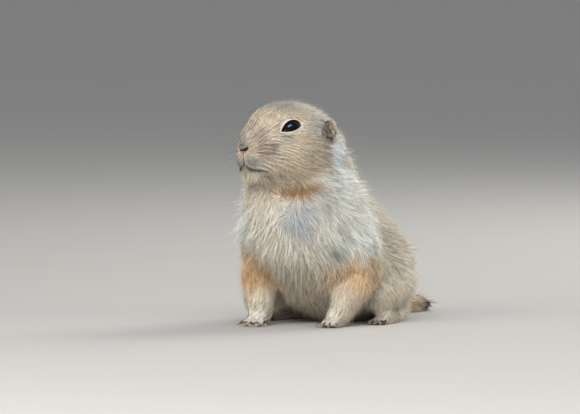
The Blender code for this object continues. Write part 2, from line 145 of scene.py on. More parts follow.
# Lie of the coat on the body, in the same columns
BODY_LIE = [
    ((12, -58, 66), (0.1, -0.1, -1), 5.5, 2.2, 0.46, 9),
    ((0, -56, 54), (0, 0.1, -1), 7.5, 2.9, 0.5, 11),
    ((20, -48, 46), (0.6, 0.2, -1), 7.5, 2.9, 0.5, 11),
    ((0, -42, 28), (0, 0.4, -1), 7.0, 2.6, 0.5, 11),
    ((34, -24, 62), (0.3, 0.9, -0.9), 6.5, 2.3, 0.48, 11),
    ((38, -14, 42), (0.1, 0.6, -1), 6.0, 2.1, 0.46, 9),
    ((38, -12, 30), (0, 0.5, -1), 5.0, 1.6, 0.42, 7),
    ((30, -26, 22), (-0.2, -0.2, -1), 4.2, 1.3, 0.38, 7),
    ((24, -30, 12), (-0.1, -0.5, -1), 3.0, 0.8, 0.3, 5),
    ((21, -38, 4), (0, -1, -0.25), 1.7, 0.35, 0.24, 5),
    ((12, -6, 90), (0.2, 1, -0.6), 5.5, 2.1, 0.46, 9),
    ((30, -26, 80), (0.3, 1, -0.6), 5.5, 2.1, 0.46, 9),
    ((14, 10, 74), (0.1, 1, -0.8), 6.5, 2.3, 0.48, 11),
    ((18, 34, 50), (0.1, 0.9, -0.8), 6.5, 2.3, 0.5, 12),
    ((0, 58, 26), (0, 0.5, -1), 6.5, 2.2, 0.5, 9),
    ((37, 4, 42), (0.05, 0.8, -0.8), 6.5, 2.3, 0.5, 11),
    ((38, 22, 24), (0, 0.5, -1), 5.5, 1.9, 0.46, 9),
    ((38, 4, 18), (0, 0.1, -1), 4.5, 1.3, 0.4, 7),
    ((34, 6, 6), (0.1, -1, -0.2), 1.8, 0.4, 0.26, 6),
    ((28, 38, 7), (0, 0.2, -1), 3.4, 0.9, 0.34, 5),
    ((0, -10, 6), (0, 1, -0.1), 4.5, 1.4, 0.46, 10),
    ((0, 30, 2), (0, 1, 0), 3.5, 0.8, 0.46, 10),
    ((0, 66, 13), (0.05, 1, -0.3), 6.0, 1.8, 0.44, 6),
    ((3, 84, 7), (0.12, 1, -0.08), 7.0, 1.9, 0.42, 7),
    ((7, 103, 4), (0.16, 1, 0), 6.0, 1.3, 0.38, 6),
]

# Numbers of tufts, how they group into locks, and the share that stands out from the rest
TUFTS = 270_000
EAR_TUFTS = 3_600
TUFTS_A_PIECE = 48_000
TUFT_FINENESS = 0.72
LOCK_EVERY = 26
LOCK_PULL = 0.55
GUARD_SHARE = 0.07
STRAY_SHARE = 0.045
ROOT_DEPTH = 0.25
# Where the pose parts the chest's coat: the hair points away from here, on this side only
WHORL, WHORL_REACH = (9.0, -55.0, 58.0), 13.0
# How far the hair's way wanders: at random, in broad bends and in narrow ones, with the bends' lengths
DISORDER, BROAD_BEND, NARROW_BEND = 0.11, 0.2, 0.1
BROAD_LENGTH, NARROW_LENGTH = 16, 5
# Streaks of tone: their two wavelengths across the coat, the waves that each adds up, and the steps
# along the hair, in hair lengths, over which they are averaged
FINE_STREAK, BROAD_STREAK = 0.85, 2.4
STREAK_WAVES = 24
STREAK_STEPS = np.linspace(-0.7, 0.7, 7)
# Half the width of a tuft's own patch on the map of the surface under it, and its least height over the floor
MAP_PATCH = 0.0015
FLOOR_GAP = 0.05
# The ears' own coat: hair length, coat depth, tuft width
EAR_HAIR = (2.8, 1.2, 0.34)

# Names of what the meshes hold for their materials
PLACE = "place"
TONE = "tone"
REACH = "reach"
LIPS = "lips"


# Places


def head_turned(place):
    return Vector(HEAD_CENTRE) + Matrix.Rotation(HEAD_TURN, 3, "Z") @ Vector(place)


EYE_LOW, EYE_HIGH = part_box("eye_left")
BODY = Matrix.Translation((EYE_LOW + EYE_HIGH) / 2 - head_turned(EYE_CENTRE) * MM)
HEAD = BODY @ Matrix.Translation(Vector(HEAD_CENTRE) * MM) @ Matrix.Rotation(HEAD_TURN, 4, "Z")


def at(matrix, place, side=1):
    """A place in millimetres, on the left or the right, as a point of the frame."""
    x, y, z = place
    return matrix @ (Vector((side * x, y, z)) * MM)


def turned(matrix, way, side=1):
    x, y, z = way
    return (matrix.to_3x3() @ Vector((side * x, y, z))).normalized()


# Arrays


def rows_of(items, key, width, kind=float):
    """The same value of every item of a mesh, as the rows of an array."""
    found = np.empty(len(items) * width, kind)
    items.foreach_get(key, found)
    return found.reshape(-1, width)


def points_of(mesh):
    return rows_of(mesh.vertices, "co", 3)


def normals_of(mesh):
    return rows_of(mesh.vertex_normals, "vector", 3)


def set_points(mesh, points):
    mesh.vertices.foreach_set("co", points.astype(np.float32).ravel())
    mesh.update()


def tag(mesh, key, values):
    """Gives each point of a mesh a number that its material reads."""
    mesh.attributes.new(key, "FLOAT", "POINT").data.foreach_set("value", np.asarray(values, np.float32))


def unit(vectors):
    return vectors / np.maximum(np.linalg.norm(vectors, axis=1, keepdims=True), 1e-12)


def eased(values, low, high):
    """0 below low, 1 above high and a smooth step between."""
    t = np.clip((values - low) / (high - low), 0, 1)
    return t * t * (3 - 2 * t)


def ripples(points, wavelength, seed, waves=14):
    """A smooth field of three numbers that wanders over space, each between about -1 and 1."""
    rng = np.random.default_rng(seed)
    ways = unit(rng.normal(size=(waves, 3))) * 2 * pi / wavelength * rng.uniform(0.7, 1.3, (waves, 1))
    phases = rng.uniform(0, 2 * pi, (waves, 3))
    total = np.zeros((len(points), 3))
    for way, phase in zip(ways, phases):
        total += np.sin((points @ way)[:, None] + phase)
    return total / sqrt(waves / 2)


def distance_to_paths(points, paths):
    """Distance in metres from each point to the nearest of some paths of straight runs."""
    nearest = np.full(len(points), np.inf)
    for path in paths:
        for a, b in zip(path, path[1:]):
            a, b = np.array(a), np.array(b)
            t = np.clip(((points - a) @ (b - a)) / ((b - a) @ (b - a)), 0, 1)
            nearest = np.minimum(nearest, np.linalg.norm(points - a - t[:, None] * (b - a), axis=1))
    return nearest


def distance_to_pair(points, place):
    """Distance in metres from each point to a place on the head or its mirror image, whichever is nearer."""
    spots = [np.array(at(HEAD, place, side)) for side in SIDES.values()]
    return np.minimum(*(np.linalg.norm(points - spot, axis=1) for spot in spots))


def object_of(mesh, name):
    obj = bpy.data.objects.new(name, mesh)
    bpy.context.scene.collection.objects.link(obj)
    return obj


def mesh_of(name, points, triangles, numbers=(), vectors=(), uv=None):
    """A mesh from arrays, with its named numbers and vectors for each point and its map for each corner."""
    mesh = bpy.data.meshes.new(name)
    mesh.vertices.add(len(points))
    mesh.vertices.foreach_set("co", np.asarray(points, np.float32).ravel())
    mesh.loops.add(triangles.size)
    mesh.loops.foreach_set("vertex_index", triangles.astype(np.int32).ravel())
    mesh.polygons.add(len(triangles))
    mesh.polygons.foreach_set("loop_start", np.arange(0, triangles.size, 3, dtype=np.int32))
    mesh.polygons.foreach_set("use_smooth", np.ones(len(triangles), bool))
    mesh.update(calc_edges=True)
    for key, values in dict(numbers).items():
        tag(mesh, key, values)
    for key, values in dict(vectors).items():
        made = mesh.attributes.new(key, "FLOAT_VECTOR", "POINT")
        made.data.foreach_set("vector", np.asarray(values, np.float32).ravel())
    if uv is not None:
        layer = mesh.uv_layers.new(name="OFBake")
        layer.uv.foreach_set("vector", np.asarray(uv, np.float32)[triangles.ravel()].ravel())
    return mesh


def surface_tree(mesh):
    """A tree that finds the nearest place on a mesh."""
    bm = bmesh.new()
    bm.from_mesh(mesh)
    tree = BVHTree.FromBMesh(bm)
    bm.free()
    return tree


# Skin


def fused(nodes, voxel, swell, name):
    """The nodes swollen so that they meet, and fused to one mesh of even small squares."""
    bm = bmesh.new()
    for node in nodes:
        bm.from_mesh(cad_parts[node].data)
    bmesh.ops.remove_doubles(bm, verts=bm.verts, dist=1e-6)
    bm.normal_update()
    for vert in bm.verts:
        vert.co += vert.normal * swell * MM
    mesh = bpy.data.meshes.new(name)
    bm.to_mesh(mesh)
    bm.free()
    obj = object_of(mesh, name)
    fuse = obj.modifiers.new("fuse", "REMESH")
    fuse.mode = "VOXEL"
    fuse.voxel_size = voxel * MM
    bpy.context.view_layer.update()
    graph = bpy.context.evaluated_depsgraph_get()
    mesh = bpy.data.meshes.new_from_object(obj.evaluated_get(graph))
    bpy.data.objects.remove(obj)
    return mesh


def relaxed(points, mesh, rounds, strength):
    """Points drawn towards their neighbours' mean, then pushed back a little more, which keeps the size."""
    a, b = rows_of(mesh.edges, "vertices", 2, np.int32).T
    count = len(points)
    near = np.bincount(a, minlength=count) + np.bincount(b, minlength=count)
    for step in range(2 * rounds):
        sums = [np.bincount(a, points[b, k], count) + np.bincount(b, points[a, k], count) for k in range(3)]
        move = np.stack(sums, 1) / near[:, None] - points
        points = points + move * strength[:, None] * (1.0 if step % 2 == 0 else -1.04)
    return points


def lie_rows():
    """The rows of the two tables on both sides, in metres: place, way, length, depth, width and reach."""
    rows = []
    for matrix, table in ((HEAD, HEAD_LIE), (BODY, BODY_LIE)):
        for place, way, *sizes in table:
            for side in SIDES.values() if place[0] else (1,):
                sizes_here = (size * MM for size in sizes)
                rows.append((*at(matrix, place, side), *turned(matrix, way, side), *sizes_here))
    return np.array(rows)


LIE = lie_rows()


def coat_at(points):
    """Way of the hair, its length, depth and width at each point, blended from the rows near it."""
    blended = []
    for some in np.array_split(points, len(points) // 20_000 + 1):
        far = ((some[:, None, :] - LIE[None, :, :3]) ** 2).sum(2)
        weight = np.exp(-far / (2 * LIE[:, 9] ** 2)) + 1e-9 / (far + 1e-5)
        blended.append(weight @ LIE[:, 3:9] / weight.sum(1, keepdims=True))
    way, length, depth, width = np.split(np.concatenate(blended), (3, 4, 5), axis=1)
    return way, length[:, 0], depth[:, 0], width[:, 0]


def eye_axes(side):
    """The middle of the eye, and the ways along its slit, up across it and out of it."""
    along = Vector((0, 1, 0)) - EYE_FACING * EYE_FACING.y
    along = Matrix.Rotation(SLIT_TILT, 3, EYE_FACING) @ along.normalized()
    up = EYE_FACING.cross(along)
    return at(HEAD, EYE_CENTRE, side), *(turned(HEAD, way, side) for way in (along, up, EYE_FACING))


def slit_edge(angle, beyond=0.0):
    """The edge of the eye's opening at this angle, or a line round it this far beyond, as along and up."""
    height = SLIT_TOP if sin(angle) > 0 else SLIT_BOTTOM
    along = (SLIT_WIDTH / 2 + beyond * 1.1) * cos(angle)
    pinch = FRONT_PINCH if cos(angle) < 0 else BACK_PINCH
    up = (height + beyond) * abs(sin(angle)) ** pinch * (1 if sin(angle) > 0 else -1)
    return along * MM, up * MM


def beyond_slit(points, side):
    """How far each point lies outside the eye's opening, in millimetres, seen from where the eye faces."""
    middle, along, up, out = (np.array(v) for v in eye_axes(side))
    local = (points - middle) / MM
    a, u, f = local @ along, local @ up, local @ out
    narrowed = 0.62 + 0.38 * np.sqrt(np.clip(1 - (a / (SLIT_WIDTH / 2)) ** 2, 0, 1))
    height = np.where(u > 0, SLIT_TOP, SLIT_BOTTOM) * np.where(a < 0, narrowed, 1)
    ratio = np.sqrt((a / (SLIT_WIDTH / 2)) ** 2 + (u / height) ** 2)
    apart = np.hypot(a, u) * (1 - 1 / np.maximum(ratio, 1e-6))
    return np.where(f > 0, apart, FAR_AWAY)


def on_nose(points):
    """How far out each point is from the middle of the nose, where 1 is its surface."""
    local = (points - np.array(at(HEAD, NOSE_CENTRE))) @ np.array(HEAD.to_3x3()) / MM
    return np.linalg.norm(local / np.array(NOSE_RADII), axis=1)


def on_lips(points, lips):
    """1 on the line between the lips, fading with the millimetres away from it and towards its ends."""
    away = distance_to_pair(points, LIP_MIDDLE)
    return np.exp(-((lips / LIP_TINT_WIDTH) ** 2)) * np.exp(-((away / (LIP_FADE * MM)) ** 2))


def lip_paths(skin_tree):
    """The cleft under the nose and the line between the lips, laid on the skin."""
    right = [(-x, y, z) for x, y, z in LIP_LINE[:0:-1]]
    return [[skin_tree.find_nearest(at(HEAD, p))[0] for p in line] for line in (PHILTRUM, right + LIP_LINE)]


def refined(mesh, wanted):
    """Cuts each edge in half where the function says so of its middle."""
    bm = bmesh.new()
    bm.from_mesh(mesh)
    middles = np.array([(edge.verts[0].co + edge.verts[1].co) / 2 for edge in bm.edges])
    chosen = wanted(middles)
    edges = [edge for edge, yes in zip(bm.edges, chosen) if yes]
    bmesh.ops.subdivide_edges(bm, edges=edges, cuts=1, use_grid_fill=True)
    bm.to_mesh(mesh)
    bm.free()
    mesh.update()


def make_skin():
    """One skin under the whole coat, with the eye openings, the lips and the cleft below the nose sunk in."""
    mesh = fused(FLESH + ["eye_left", "eye_right", "nose"], 0.85, 0.25, "skin")
    points = points_of(mesh)
    paws = np.array([at(BODY, (*palm, PALM_HEIGHT)) for palm in PALMS.values()])
    near_paw = np.min(np.linalg.norm((points[:, None] - paws) * (1, 1, 1.6), axis=2), axis=1)
    off_paws = eased(near_paw, 10 * MM, 18 * MM)
    strength = 0.1 + 0.45 * off_paws
    points = relaxed(points, mesh, 14, strength)
    set_points(mesh, points)
    depth = coat_at(points)[2] + 0.25 * MM * off_paws
    depth *= eased(points[:, 2], 0.0, 1.5 * MM)
    points = points - normals_of(mesh) * depth[:, None]
    points = relaxed(points, mesh, 3, strength)
    points[:, 2] = np.maximum(points[:, 2], 0.0)
    set_points(mesh, points)
    tree = surface_tree(mesh)
    paths = lip_paths(tree)

    def near_lips(middles, reach):
        return distance_to_paths(middles, paths) < reach * MM

    refined(mesh, lambda middles: near_lips(middles, 3.0) | (distance_to_pair(middles, EYE_CENTRE) < 10 * MM))
    refined(mesh, lambda middles: near_lips(middles, 1.4))
    points, normals = points_of(mesh), normals_of(mesh)
    lips = distance_to_paths(points, paths) / MM
    groove = GROOVE_DEPTH * np.exp(-((lips / GROOVE_WIDTH) ** 2))
    swelling = SWELLING * np.exp(-(((lips - SWELLING_PLACE) / SWELLING_WIDTH) ** 2))
    points = points - normals * (groove - swelling)[:, None] * MM
    for side in SIDES.values():
        out = np.array(eye_axes(side)[3])
        inside = 1 - eased(beyond_slit(points, side), 0.5, 1.4)
        points = points - out * (SOCKET_DEPTH * MM * inside)[:, None]
    back = np.array(turned(HEAD, (0, 1, 0)))
    inside = 1 - eased(on_nose(points), 0.86, 1.06)
    points = points + back * (NOSE_SOCKET_DEPTH * MM * inside)[:, None]
    set_points(mesh, points)
    tag(mesh, LIPS, on_lips(points, lips))
    mesh.shade_smooth()
    return object_of(mesh, "skin"), tree, paths


def unwrap(obj):
    """Lays the piece's own surface out flat, as a map."""
    obj.data.uv_layers.new(name="OFBake")
    bpy.context.view_layer.objects.active = obj
    obj.select_set(True)
    bpy.ops.object.mode_set(mode="EDIT")
    bpy.ops.mesh.select_all(action="SELECT")
    bpy.ops.uv.smart_project(angle_limit=radians(66), island_margin=0.003)
    bpy.ops.object.mode_set(mode="OBJECT")
    obj.select_set(False)


# Coat


def scattered(mesh, count, seed, thickness):
    """Roots spread over a surface, closer where its coat is thicker: place, normal and place on the map."""
    mesh.calc_loop_triangles()
    corners = rows_of(mesh.loop_triangles, "vertices", 3, np.int32)
    loops = rows_of(mesh.loop_triangles, "loops", 3, np.int32)
    uv = rows_of(mesh.uv_layers["OFBake"].uv, "vector", 2)
    points, normals = points_of(mesh), normals_of(mesh)
    abc = points[corners]
    area = np.linalg.norm(np.cross(abc[:, 1] - abc[:, 0], abc[:, 2] - abc[:, 0]), axis=1) / 2
    steps = np.cumsum(area * thickness(abc.mean(1)))
    rng = np.random.default_rng(seed)
    ticks = (np.arange(count) + rng.uniform(0, 1, count)) / count * steps[-1]
    face = np.searchsorted(steps, ticks)
    share = rng.dirichlet((1, 1, 1), count)
    place = (abc[face] * share[:, :, None]).sum(1)
    normal = unit((normals[corners[face]] * share[:, :, None]).sum(1))
    return place, normal, (uv[loops[face]] * share[:, :, None]).sum(1)


def skin_thickness(points):
    """More and finer tufts where the hair is short, and none on the eyes, nose, ear pits and soles."""
    grows = eased(distance_to_pair(points, EAR_PIT), 1.2 * MM, 1.9 * MM)
    for side in SIDES.values():
        grows *= eased(beyond_slit(points, side), 0.3, 0.6)
    grows *= eased(on_nose(points), 1.0, 1.08)
    _, length, _, width = coat_at(points)
    return grows * eased(points[:, 2], 0.1 * MM, 0.6 * MM) / (length**0.7 * width)


def lying(place, normal, way, looseness):
    """The way of the hair laid flat on the skin, with slow wandering and a little disorder."""
    rng = np.random.default_rng(29)
    strays = rng.normal(0, DISORDER, place.shape)
    strays += ripples(place, BROAD_LENGTH * MM, 3) * BROAD_BEND
    strays += ripples(place, NARROW_LENGTH * MM, 5) * NARROW_BEND
    away = (place - np.array(at(BODY, WHORL))) / (WHORL_REACH * MM)
    parted = np.exp(-((away**2).sum(1)))[:, None]
    way = way * (1 - 0.7 * parted) + unit(away) * 0.8 * parted + strays * looseness[:, None]
    return unit(way - normal * (way * normal).sum(1, keepdims=True))


def lock_of(place):
    """For each root, the number of the root whose lock it belongs to."""
    chosen = np.arange(0, len(place), LOCK_EVERY)
    tree = KDTree(len(chosen))
    for i, k in enumerate(chosen):
        tree.insert(place[k], i)
    tree.balance()
    return chosen[np.array([tree.find(point)[1] for point in place])]


def above_skin(tree, points, height):
    """Each point moved to this height over the skin nearest to it."""
    found = np.empty_like(points)
    for i, point in enumerate(points):
        where, normal, _, _ = tree.find_nearest(point)
        found[i] = where + normal * height[i]
    return found


def streaks(place, lie, length):
    """A number for each root that changes quickly across the coat and slowly along it."""
    found = []
    for wavelength, seed in ((FINE_STREAK * MM, 41), (BROAD_STREAK * MM, 43)):
        total = np.zeros(len(place))
        for step in STREAK_STEPS:
            total += ripples(place + lie * (step * length)[:, None], wavelength, seed, STREAK_WAVES)[:, 0]
        found.append(total / total.std())
    coarse = eased(length, 2.5 * MM, 6.0 * MM)
    return found[0] * (1 - 0.6 * coarse) + found[1] * (0.12 + 0.6 * coarse)


def combed(place, normal, tree, growth, seed):
    """Tip, way across, width and tone of each root's tuft, which lies along the coat and joins a lock."""
    way, length, depth, width = growth
    count = len(place)
    rng = np.random.default_rng(seed)
    looseness = np.clip(length / (6 * MM), 0.3, 1.0)
    lie = lying(place, normal, way, looseness)
    across = unit(np.cross(lie, normal))
    owner = lock_of(place)
    guard = (rng.uniform(0, 1, count) < GUARD_SHARE) * looseness
    length = length * rng.uniform(0.7, 1.1, count) * (1 + 0.35 * guard)
    tip = place + lie * length[:, None]
    aside = ((tip[owner] - tip) * across).sum(1)
    tip = tip + across * (aside * LOCK_PULL * looseness * rng.uniform(0.6, 1.0, count))[:, None]
    lift = depth * (0.35 + 0.6 * rng.uniform(0, 1, count) + 0.12 * ripples(place, 0.012, 17)[:, 0])
    lift = np.maximum(lift, 0.1 * MM) + depth * guard * rng.uniform(0.3, 1.0, count)
    tip = above_skin(tree, tip, lift)
    long_hair, short_hair = eased(length, 5.0 * MM, 7.0 * MM), 1 - eased(length, 3.2 * MM, 4.4 * MM)
    fluffy = STRAY_SHARE * (1 + 0.7 * long_hair + 1.2 * short_hair)
    stray = (rng.uniform(0, 1, count) < fluffy) * eased(length, 1.5 * MM, 3.5 * MM)
    tip += normal * (length * stray * rng.uniform(0.25, 0.9, count))[:, None]
    tone = 0.7 * rng.normal(0, 1, count) + streaks(place, lie, length) * (1.4 - 0.85 * looseness)
    return tip, across, width * TUFT_FINENESS * (1 - 0.25 * guard + 0.1 * stray), tone


def make_coat(skin, tree, paths):
    """The coat of the whole skin, as thin closed tufts."""
    count = TUFTS
    place, normal, on_map = scattered(skin.data, count, 7, skin_thickness)
    lips = distance_to_paths(place, paths) / MM
    kept = lips > BARE_LIP
    place, normal, on_map, lips = (values[kept] for values in (place, normal, on_map, lips))
    tip, across, width, tone = combed(place, normal, tree, coat_at(place), 11)
    width = width * sqrt(TUFTS / count)
    groups = coat_groups(place)
    made = []
    for name, slot in COAT_PIECES.items():
        members = np.flatnonzero(groups == name)
        shares = -(-len(members) // TUFTS_A_PIECE)
        for number, chosen in enumerate(np.array_split(members, shares)):
            rows = [values[chosen] for values in (place, normal, on_map, tip, across, width, tone, lips)]
            made.append((tufts(f"coat_{name}_{number + 1}", *rows), slot))
    return made


def tufts(name, place, normal, on_map, tip, across, width, tone, lips):
    """Slender three-sided tufts, each with a left, a right and a ridge point at its root, and a tip."""
    half = across * width[:, None] / 2
    root = place - normal * ROOT_DEPTH * MM
    points = np.stack([root - half, root + half, root + normal * width[:, None] * 0.6, tip], 1)
    points[:, :, 2] = np.maximum(points[:, :, 2], FLOOR_GAP * MM)
    sides = np.array([(0, 1, 2), (1, 0, 3), (2, 1, 3), (0, 2, 3)])
    triangles = (np.arange(len(place))[:, None, None] * 4 + sides).reshape(-1, 3)
    numbers = {TONE: np.repeat(tone, 4), LIPS: np.repeat(on_lips(place, lips), 4)}
    numbers[REACH] = np.tile([0, 0, 0, 1], len(place))
    patch = MAP_PATCH * np.array([(-1, -1), (1, -1), (0, 1), (0, -0.3)])
    on_map = (on_map[:, None] + patch).reshape(-1, 2)
    mesh = mesh_of(name, points.reshape(-1, 3), triangles, numbers, {PLACE: np.repeat(place, 4, 0)}, on_map)
    lie = unit(tip - place)
    facing = np.stack([normal - across * 0.5, normal + across * 0.5, normal, normal + lie * 0.15], 1)
    mesh.normals_split_custom_set_from_vertices(unit(facing.reshape(-1, 3)).astype(np.float32))
    return object_of(mesh, name)


# The coat's pieces and a slot name for each
COAT_PIECES = {
    "face": "head",
    "crown": "head",
    "neck": "neck",
    "chest": "chest",
    "back": "rump",
    "legs": "thigh_left",
    "arms": "forearm_left",
    "tail": "tail",
}


def coat_groups(points):
    """Which of the coat's pieces each root belongs to."""
    head = (points - np.array(HEAD.translation)) @ np.array(HEAD.to_3x3()) / MM
    body = (points - np.array(BODY.translation)) / MM
    x, y, z = np.abs(body[:, 0]), body[:, 1], body[:, 2]
    group = np.full(len(points), "back", dtype="<U5")
    group[(y < 10) & (x < 30)] = "chest"
    group[(y < -6) & (x >= 24) & (z < 60)] = "arms"
    group[(z < 30) & (x > 22) & (y >= -8)] = "legs"
    group[(z > 58) & (y < 14)] = "neck"
    inside = np.linalg.norm((head - (0, -2, 0)) / (30, 34, 27), axis=1) < 1
    group[inside] = "crown"
    group[inside & (head[:, 1] < -2)] = "face"
    group[y > 58] = "tail"
    return group


# Materials


class Value:
    """A number that changes over a surface. A sum with it adds Math nodes."""

    def __init__(self, finish, socket):
        self.finish, self.socket = finish, socket

    def __add__(self, other):
        return self.finish.math("ADD", self, other)

    def __sub__(self, other):
        return self.finish.math("SUBTRACT", self, other)

    def __rsub__(self, other):
        return self.finish.math("SUBTRACT", other, self)

    def __mul__(self, other):
        return self.finish.math("MULTIPLY", self, other)

    __radd__ = __add__
    __rmul__ = __mul__


class Finish:
    """A material, whose nodes are added one by one."""

    def __init__(self, name, roughness, **fixed):
        self.material = bpy.data.materials.new(name)
        self.material.use_nodes = True
        self.tree = self.material.node_tree
        self.shader = self.tree.nodes["Principled BSDF"]
        self.shader.inputs["Roughness"].default_value = roughness
        for key, value in fixed.items():
            self.shader.inputs[key.replace("_", " ")].default_value = value

    def node(self, kind, settings=None, inputs=None, output=0):
        made = self.tree.nodes.new("ShaderNode" + kind)
        for key, value in (settings or {}).items():
            setattr(made, key, value)
        for key, value in (inputs or {}).items():
            self.join(value, made.inputs[key])
        return Value(self, made.outputs[output])

    def join(self, value, socket):
        if isinstance(value, Value):
            self.tree.links.new(value.socket, socket)
        else:
            socket.default_value = value

    def math(self, operation, *values):
        return self.node("Math", {"operation": operation}, dict(enumerate(values)))

    def vector(self, operation, *values, output=0):
        return self.node("VectorMath", {"operation": operation}, dict(enumerate(values)), output)

    def place(self):
        """The place on the piece, in metres."""
        return self.node("TexCoord", output="Object")

    def held(self, name, output="Fac"):
        """What the mesh holds under this name."""
        return self.node("Attribute", {"attribute_name": name}, output=output)

    def part(self, vector, axis):
        return self.node("SeparateXYZ", {}, {"Vector": vector}, output=axis)

    def mixed(self, amount, first, second, blend="MIX"):
        """The first colour turning into the second."""
        made = self.tree.nodes.new("ShaderNodeMix")
        made.data_type, made.blend_type = "RGBA", blend
        for value, socket in ((amount, made.inputs[0]), (first, made.inputs[6]), (second, made.inputs[7])):
            self.join((*value, 1) if isinstance(value, tuple) and len(value) == 3 else value, socket)
        return Value(self, made.outputs[2])

    def noise(self, place, size, detail=2.0, stretch=None):
        """A cloudy number about 0.5. Its patches are this size, in the units of the place."""
        if stretch:
            place = self.node("Mapping", {}, {"Vector": place, "Scale": stretch})
        return self.node("TexNoise", {}, {"Vector": place, "Scale": 1 / size, "Detail": detail})

    def wave(self, value, length):
        return self.math("COSINE", value * (2 * pi / length))

    def stepped(self, value, low, high, to=(0.0, 1.0)):
        """Follows a value smoothly from low to high."""
        inputs = {"Value": value, "From Min": low, "From Max": high, "To Min": to[0], "To Max": to[1]}
        return self.node("MapRange", {"interpolation_type": "SMOOTHSTEP"}, inputs)

    def measured(self, place, matrix):
        """The place in millimetres in the body's or the head's own frame."""
        inputs = {"Location": matrix.translation, "Rotation": matrix.to_euler(), "Scale": (MM, MM, MM)}
        return self.node("Mapping", {"vector_type": "TEXTURE"}, {"Vector": place, **inputs})

    def folded(self, local):
        """A place with the animal's right side folded onto its left."""
        flat = self.vector("MULTIPLY", local, (0, 1, 1))
        return self.vector("MULTIPLY_ADD", self.vector("ABSOLUTE", local), (1, 0, 0), flat)

    def patch(self, local, middle, radii, soft=0.55):
        """1 in the middle of an egg-shaped patch, fading to 0 at its radii."""
        away = self.vector("DIVIDE", self.vector("SUBTRACT", local, middle), radii)
        reach = self.vector("LENGTH", away, output="Value")
        return self.stepped(reach, 1.0 - soft, 1.0 + soft * 0.45, (1.0, 0.0))

    def done(self, colour, bump=None, strength=0.3, depth=0.1, **others):
        self.tree.links.new(colour.socket, self.shader.inputs["Base Color"])
        for key, value in others.items():
            self.join(value, self.shader.inputs[key.replace("_", " ")])
        if bump:
            inputs = {"Height": bump, "Strength": strength, "Distance": depth * MM}
            self.tree.links.new(self.node("Bump", {}, inputs).socket, self.shader.inputs["Normal"])
        return self.material


BUFF = (0.70, 0.61, 0.47)
